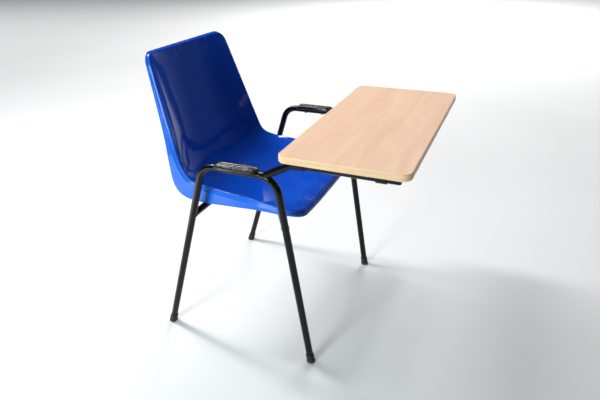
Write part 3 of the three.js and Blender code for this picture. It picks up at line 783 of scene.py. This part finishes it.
PAD_RIBS = 4
PAD_RIDGE = 14.4  # heights above the middle of the arm
PAD_VALLEY = 12.1
PAD_SKIRT = 4.5
PAD_REAR_END = 9  # lengths over which the ends of the pad are rounded, and how much they narrow
PAD_REAR_NARROWS = 5
PAD_FRONT_END = 24
PAD_FRONT_NARROWS = 9


def pad_shares(steps=12):
    """Places across the pad, closer together towards the foot of each rib."""
    within = -np.cos(np.linspace(0, math.pi, steps, endpoint=False))
    shares = [(2 * rib + 1 + along) / PAD_RIBS - 1 for rib in range(PAD_RIBS) for along in within]
    return [*shares, 1.0]


def pad_section(half, ridge, valley, gap=0.15):
    """The pad's section as [x, z] pairs about the arm's middle, with smooth ribs on top."""
    section = []
    for share in pad_shares():
        across_rib = 2 * ((share + 1) / 2 * PAD_RIBS % 1) - 1
        top = valley + (ridge - valley) * math.sqrt(1 - across_rib ** 2)
        edge = max(0.0, abs(share) - 0.93) / 0.07
        fall = 1 - math.sqrt(max(0, 1 - edge ** 2))
        section.append((half * share, top - (top - PAD_SKIRT - 3.4) * fall))
    section.append((half, PAD_SKIRT + 0.8))
    section.append((half - 0.8, PAD_SKIRT))
    grip = math.asin(PAD_SKIRT / (TUBE_R + gap))
    for angle in np.linspace(grip, math.pi - grip, 25):
        section.append(((TUBE_R + gap) * math.cos(angle), (TUBE_R + gap) * math.sin(angle)))
    section.append((-half + 0.8, PAD_SKIRT))
    section.append((-half, PAD_SKIRT + 0.8))
    return np.array(section)


def build_pad(side, x):
    low, high = PAD_LOW[1], PAD_HIGH[1]
    half = (PAD_HIGH[0] - PAD_LOW[0]) / 2
    rings = []
    front = low + PAD_FRONT_END * (1 - np.cos(np.linspace(0.02, 1, 14) * math.pi / 2))
    rear = high - PAD_REAR_END * (1 - np.cos(np.linspace(1, 0.02, 10) * math.pi / 2))
    between = np.linspace(front[-1], rear[0], 10)[1:-1]
    for y in [*front, *between, *rear]:
        from_front = min(1, (y - low) / PAD_FRONT_END)
        from_rear = min(1, (high - y) / PAD_REAR_END)
        width = half - PAD_FRONT_NARROWS * (1 - math.sqrt(1 - (1 - from_front) ** 2))
        width -= PAD_REAR_NARROWS * (1 - math.sqrt(1 - (1 - from_rear) ** 2))
        fullness = math.sqrt(1 - (1 - min(from_front * 1.6, from_rear, 1)) ** 2)
        ridge = TUBE_R + 1.2 + (PAD_RIDGE - TUBE_R - 1.2) * fullness
        valley = TUBE_R + 1.0 + (PAD_VALLEY - TUBE_R - 1.0) * fullness
        section = pad_section(width, ridge, valley)
        rings.append(np.stack([x + section[:, 0], np.full(len(section), y), ARM_Z + section[:, 1]], axis=1))
    add_mesh(f"{side}_ribbed_pad", *loft(rings), PAD_PLASTIC, "chair", [f"{side}_armrest_pad"], "arm_pad")


def build_foot(side, x, place, foot_y, corner_y):
    """A rubber cap with a grooved collar, whose sole is level although the leg leans."""
    profile = [(0, 1.2), (8.2, 1.2), (8.8, 0), (FOOT_R - 1, 0), (FOOT_R, 1.2), (FOOT_R, 5),
               (FOOT_R - 0.8, 12), (FOOT_R - 0.8, 19.6), (FOOT_R - 1.4, 20.2), (FOOT_R - 1.4, 21.8),
               (FOOT_R - 0.8, 22.4), (FOOT_R - 0.8, FOOT_TOP - 1.2), (FOOT_R - 1.6, FOOT_TOP),
               (TUBE_R + 0.05, FOOT_TOP), (TUBE_R + 0.05, LEG_START - 0.2), (0, LEG_START - 0.2)]
    turn = np.linspace(0, 2 * math.pi, 48, endpoint=False)
    lean = math.hypot(1, (corner_y - foot_y) / ARM_Z)
    rings = []
    for radius, z in rounded(profile, 0.6, 2):
        radius = max(radius, 0.02)
        y = leg_at(foot_y, corner_y, z)
        rings.append(np.stack([x + radius * np.cos(turn), y + radius * lean * np.sin(turn),
                               np.full(len(turn), z)], axis=1))
    add_mesh(f"{side}_{place}_rubber_cap", *loft(rings), RUBBER, "chair",
             [f"{side}_{place}_foot"], "rubber")


def build_rail_cap(side, x):
    bore = TUBE_R - TUBE_WALL
    profile = [(0, -4), (5.5, -4), (8.6, -3.1), (TUBE_R - 0.1, -1.2), (TUBE_R - 0.1, -0.1),
               (bore - 0.1, -0.1), (bore - 0.1, 3), (bore - 0.5, 3.4), (bore - 0.5, 14), (0, 14)]
    solid = revolve(rounded(profile, 0.5), (x, RAIL_END_Y, RAIL_Z), (0, 1, 0))
    add_mesh(f"{side}_rail_plug", *solid, NYLON, "chair", [f"{side}_rail_end_cap"], "end_cap")


# ---------------------------------------------------------------- screws and bolts


def ring_round(x, y, radius, turn, z):
    """A ring of points about a vertical axis; radius and z may differ from point to point."""
    heights = np.broadcast_to(z, turn.shape)
    return np.stack([x + radius * np.cos(turn), y + radius * np.sin(turn), heights], axis=1)


def pan_screw(node):
    """A pan-head screw with a cross recess, driven from below, as big as its CAD node."""
    low, high = design_box(node)
    x, y = ((low + high) / 2)[:2]
    head = (high[0] - low[0]) / 2
    thick = 2.4
    turn = np.linspace(0, 2 * math.pi, 48, endpoint=False)
    rings = []
    for share in np.linspace(0.02, 1, 12):
        radius = head * share
        dome = thick * (1 - math.sqrt(1 - (0.86 * share) ** 2)) * 0.8
        arm = np.minimum(np.abs(radius * np.cos(turn)), np.abs(radius * np.sin(turn)))
        recess = np.clip((0.62 - arm) / 0.25, 0, 1) * np.clip((0.62 * head - radius) / 0.35, 0, 1)
        rings.append(ring_round(x, y, radius, turn, low[2] + dome + 1.1 * recess))
    profile = [(head, low[2] + thick - 0.15), (head - 0.15, low[2] + thick), (2, low[2] + thick)]
    z = low[2] + thick + 0.8
    while z < high[2] - 3:
        profile += [(2, z), (1.45, z + 0.45)]
        z += 0.9
    profile += [(1.3, high[2] - 2), (0.1, high[2])]
    for radius, z in profile:
        rings.append(ring_round(x, y, radius, turn, z))
    return loft(rings)


def hex_bolt(node):
    """A hex-head bolt with a chamfered head and a flange, pointing up, as big as its CAD node."""
    low, high = design_box(node)
    x, y = ((low + high) / 2)[:2]
    across = (high[0] - low[0]) / 2 * math.cos(math.pi / 6)
    turn = np.linspace(0, 2 * math.pi, 48, endpoint=False)
    to_flat = across / np.cos((turn + math.pi / 6) % (math.pi / 3) - math.pi / 6)
    rings = []
    for share, z in ((0.005, 0), (0.8, 0), (0.98, 0.05), (1.16, 0.75), (1.16, 3.4)):
        radius = np.minimum(to_flat, across * share)
        rings.append(ring_round(x, y, radius, turn, low[2] + z))
    profile = [(across * 1.14, 3.5), (across * 1.14, 4.0), (3, 4.0), (3, 7.5)]
    profile += [(3 - 0.45 * (k % 2), 8 + 0.5 * k) for k in range(int((high[2] - low[2] - 9.5) / 0.5))]
    profile += [(2.4, high[2] - low[2] - 0.4), (1.8, high[2] - low[2])]
    for radius, z in profile:
        rings.append(ring_round(x, y, radius, turn, low[2] + z))
    return loft(rings)


def build_fixings():
    for node in sorted(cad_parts):
        if "screw" in node:
            body = "desk" if node.startswith(("hinge", "buffer")) else "chair"
            finish, slot = (PAINT, "black_screw") if "pad" in node else (ZINC, "zinc")
            add_mesh(node.replace("screw", "pan_head"), *pan_screw(node), finish, body, [node], slot)
        elif "seat_bolt" in node:
            add_mesh(node.replace("bolt", "hex_head"), *hex_bolt(node), ZINC, "chair", [node], "zinc")


# ---------------------------------------------------------------- writing board


def board_outline(inset, steps=14):
    """The board's outline, that far inside its edge, as [x, y] pairs."""
    low = BOARD_LOW[:2] + inset
    high = BOARD_HIGH[:2] - inset
    radius = BOARD_CORNER - inset
    outline = []
    corners = ((high[0], low[1], -90), (high[0], high[1], 0), (low[0], high[1], 90), (low[0], low[1], 180))
    for x, y, start in corners:
        centre = np.array([x - math.copysign(radius, x), y + (radius if y == low[1] else -radius)])
        for angle in np.radians(np.linspace(start, start + 90, steps)):
            outline.append(centre + radius * np.array([math.cos(angle), math.sin(angle)]))
    return np.array(outline)


def board_ring(inset, z):
    outline = board_outline(inset)
    return np.column_stack([outline, np.full(len(outline), z)])


def build_board():
    bottom, top = BOARD_LOW[2], BOARD_HIGH[2]
    round_r = 1.8
    angles = np.radians(range(0, 91, 15))
    outer = [(round_r * (1 - math.sin(a)), top - round_r * (1 - math.cos(a))) for a in angles]
    lower = [(inset, bottom + top - z) for inset, z in reversed(outer)]
    section = [(EDGE_BAND, top), *outer, *lower, (EDGE_BAND, bottom)]
    rings = [board_ring(inset, z) for inset, z in section]
    add_mesh("board_edging", *loft(rings, wrap=True), BANDING, "desk", ["desk_edge_band"], "edge_band")
    inside = EDGE_BAND + 0.03
    laminate = [(inside + 0.3, top - LAMINATE), (inside, top - LAMINATE + 0.1), (inside, top - 0.12),
                (inside + 0.12, top)]
    add_mesh("board_top", *loft([board_ring(*pair) for pair in laminate]), BEECH, "desk",
             ["desk_top_laminate"], "desk_top")
    laminate = [(inside + 0.12, bottom), (inside, bottom + 0.12), (inside, bottom + LAMINATE)]
    add_mesh("board_backing", *loft([board_ring(*pair) for pair in laminate]), BACKING, "desk",
             ["desk_underside_laminate"], "desk_backing")


def build_strap(place):
    """A pipe-saddle strap: two ears and a loop of steel strip with bent corners, round the rail."""
    low, high = design_box(f"hinge_strap_{place}")
    x = (low[0] + high[0]) / 2
    reach = (high[0] - low[0]) / 2
    top = high[2] - RAIL_Z
    inner = TUBE_R + 0.6
    thick = 2
    middle_line = [(-reach, top - thick / 2), (-inner - thick / 2, top - thick / 2)]
    middle_line += [((inner + thick / 2) * math.cos(a), (inner + thick / 2) * math.sin(a))
                    for a in np.radians(np.linspace(180, 360, 25))]
    middle_line += [(inner + thick / 2, top - thick / 2), (reach, top - thick / 2)]
    line = np.array(rounded([np.array(p) for p in middle_line], 2.2, 4))
    ahead = np.gradient(line, axis=0)
    ahead /= np.linalg.norm(ahead, axis=1)[:, None]
    square = np.stack([-ahead[:, 1], ahead[:, 0]], axis=1)
    width = (high[1] - low[1]) / 2
    y = (low[1] + high[1]) / 2
    edge = 0.45
    side_edge = 1 - edge / width
    section = [(-1, -side_edge), (-1, side_edge), (edge - 1, 1), (1 - edge, 1),
               (1, side_edge), (1, -side_edge), (1 - edge, -1), (edge - 1, -1)]
    rings = []
    for centre, normal in zip(line, square):
        points = [(*(centre + normal * n * thick / 2), width * w) for n, w in section]
        rings.append(np.array([(x + px, y + py, RAIL_Z + pz) for px, pz, py in points]))
    add_mesh(f"saddle_strap_{place}", *loft(rings), PAINT, "desk",
             [f"hinge_strap_{place}"], "frame_paint", sharp=30)


def dress_cad_node(node, material, bevel=None):
    """Keeps a CAD node's own shape, with a better material and, if asked, softened edges."""
    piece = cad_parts[node]
    piece.data.materials.clear()
    piece.data.materials.append(material)
    if bevel:
        modifier = piece.modifiers.new("soft_edges", "BEVEL")
        modifier.width = bevel * MM
        modifier.segments = 3
        modifier.limit_method = "ANGLE"
        modifier.angle_limit = math.radians(40)


def dress_cad_nodes():
    dress_cad_node("desk_core", CHIPBOARD)
    for place in ("rear", "front"):
        dress_cad_node(f"hinge_bearing_{place}", NYLON, bevel=0.5)
        dress_cad_node(f"desk_buffer_{place}", RUBBER, bevel=0.8)
    for mount in MOUNTS:
        dress_cad_node(f"seat_tab_{mount}", PAINT, bevel=0.5)
        dress_cad_node(f"seat_insert_{mount}", BRASS)


# ---------------------------------------------------------------- building the chair

for side_name, side_x in SIDES.items():
    build_side(side_name, side_x)
    build_pad(side_name, side_x)
    build_foot(side_name, side_x, "rear", REAR_FOOT_Y, ARM_REAR_Y)
    build_foot(side_name, side_x, "front", FRONT_FOOT_Y, ARM_FRONT_Y)
    build_rail_cap(side_name, side_x)
build_crossbars()
build_shell()
build_board()
for strap_place in ("rear", "front"):
    build_strap(strap_place)
build_fixings()
dress_cad_nodes()

# ---------------------------------------------------------------- studio

CAMERA_AZIMUTH = math.radians(-66.13)  # turned from looking along +Y
CAMERA_ELEVATION = math.radians(27.52)
CAMERA_ROLL = math.radians(-1.31)
CAMERA_AIM = (0, -26.5, 379)  # the point of the middle plane that is in the centre of the picture
CAMERA_DISTANCE = 1616
LENS = 30.68

WORLD_DIM = 0.07
WORLD_BAND = 1.0


def add_camera():
    forward = Vector((
        -math.sin(CAMERA_AZIMUTH) * math.cos(CAMERA_ELEVATION),
        math.cos(CAMERA_AZIMUTH) * math.cos(CAMERA_ELEVATION),
        -math.sin(CAMERA_ELEVATION),
    ))
    level_right = Vector((math.cos(CAMERA_AZIMUTH), math.sin(CAMERA_AZIMUTH), 0))
    level_up = level_right.cross(forward)
    right = level_right * math.cos(CAMERA_ROLL) + level_up * math.sin(CAMERA_ROLL)
    up = level_up * math.cos(CAMERA_ROLL) - level_right * math.sin(CAMERA_ROLL)
    camera = bpy.data.objects.new("camera", bpy.data.cameras.new("camera"))
    camera.data.lens = LENS
    camera.data.sensor_width = 36
    bpy.context.scene.collection.objects.link(camera)
    turn = Matrix((right, up, -forward)).transposed()
    place = Vector(to_row(CAMERA_AIM)) - forward * CAMERA_DISTANCE * MM
    camera.matrix_world = Matrix.LocRotScale(place, turn.to_quaternion(), None)
    bpy.context.scene.camera = camera


def add_light(name, place, aim, size, power, colour=(1, 1, 1), mirrored=True):
    """A soft rectangular area light. place and aim are in metres in the row's frame."""
    light = bpy.data.lights.new(name, "AREA")
    light.shape = "RECTANGLE"
    light.size, light.size_y = size
    light.energy = power
    light.color = colour
    holder = bpy.data.objects.new(name, light)
    bpy.context.scene.collection.objects.link(holder)
    holder.visible_camera = False
    holder.visible_glossy = mirrored
    direction = Vector(aim) - Vector(place)
    holder.matrix_world = Matrix.LocRotScale(Vector(place), direction.to_track_quat("-Z", "Y"), None)


def add_floor():
    mesh = bpy.data.meshes.new("floor")
    reach = 60
    corners = [(-reach, -reach, 0), (reach, -reach, 0), (reach, reach, 0), (-reach, reach, 0)]
    mesh.from_pydata(corners, [], [(0, 1, 2, 3)])
    floor = bpy.data.objects.new("floor", mesh)
    bpy.context.scene.collection.objects.link(floor)
    s = Surface("pale_floor", Specular_IOR_Level=0.2)
    s.colour(s.mix(s.noise(1.5, 3), (0.54, 0.54, 0.54), (0.58, 0.58, 0.58)))
    s.roughness(s.ramp(s.noise(6, 3), 0.3, 0.7, 0.7, 0.8))
    mesh.materials.append(s.material)


def add_world():
    """A dim studio with a bright, low band beyond the chair's far side, as from a lit backdrop."""
    world = bpy.data.worlds.new("studio")
    world.use_nodes = True
    tree = world.node_tree

    def node(kind, inputs, **settings):
        made = tree.nodes.new("ShaderNode" + kind)
        for name, value in settings.items():
            setattr(made, name, value)
        for key, value in inputs.items():
            if isinstance(value, bpy.types.NodeSocket):
                tree.links.new(value, made.inputs[key])
            else:
                made.inputs[key].default_value = value
        return made

    direction = tree.nodes.new("ShaderNodeTexCoord").outputs["Generated"]
    height = node("SeparateXYZ", {0: direction}).outputs["Z"]
    far_side = node("VectorMath", {0: direction, 1: (0.91, 0.41, 0.0)}, operation="DOT_PRODUCT")

    def fade(value, low, high):
        """0 to 1, smoothly, as value goes from low to high."""
        inputs = {"Value": value, "From Min": low, "From Max": high}
        return node("MapRange", inputs, interpolation_type="SMOOTHSTEP").outputs[0]

    across = fade(far_side.outputs["Value"], 0.25, 1.0)
    band = node("Math", {0: across, 1: fade(height, 0.28, 0.0)}, operation="MULTIPLY").outputs[0]
    strength = node("MapRange", {"Value": band, "To Min": WORLD_DIM, "To Max": WORLD_BAND}).outputs[0]
    background = tree.nodes["Background"]
    background.inputs["Color"].default_value = (0.82, 0.92, 1.0, 1)
    tree.links.new(strength, background.inputs["Strength"])
    bpy.context.scene.world = world


add_camera()
add_floor()
add_world()
add_light("key", (0.45, 2.3, 2.8), (0.0, 0.1, 0.5), (1.3, 1.3), 48)
add_light("accent", (0.15, 1.5, 3.1), (0.15, 0.3, 0.5), (0.32, 1.1), 68)
add_light("left_side", (-3.3, 0.75, 1.3), (0, 0.15, 0.5), (0.9, 1.1), 120, (0.84, 0.97, 1.0))
add_light("left_low", (-0.8, 0.85, 0.03), (-0.3, 0.25, 0.6), (0.9, 0.9), 6, (0.8, 0.95, 1.0))
add_light("background_left", (2.2, 8.0, 5.5), (2.4, 7.4, 0), (6, 6), 470, mirrored=False)
add_light("background_right", (6.5, 0.6, 4.2), (5.4, -0.4, 0), (4, 4), 600, mirrored=False)
bpy.context.scene.view_settings.view_transform = "Standard"
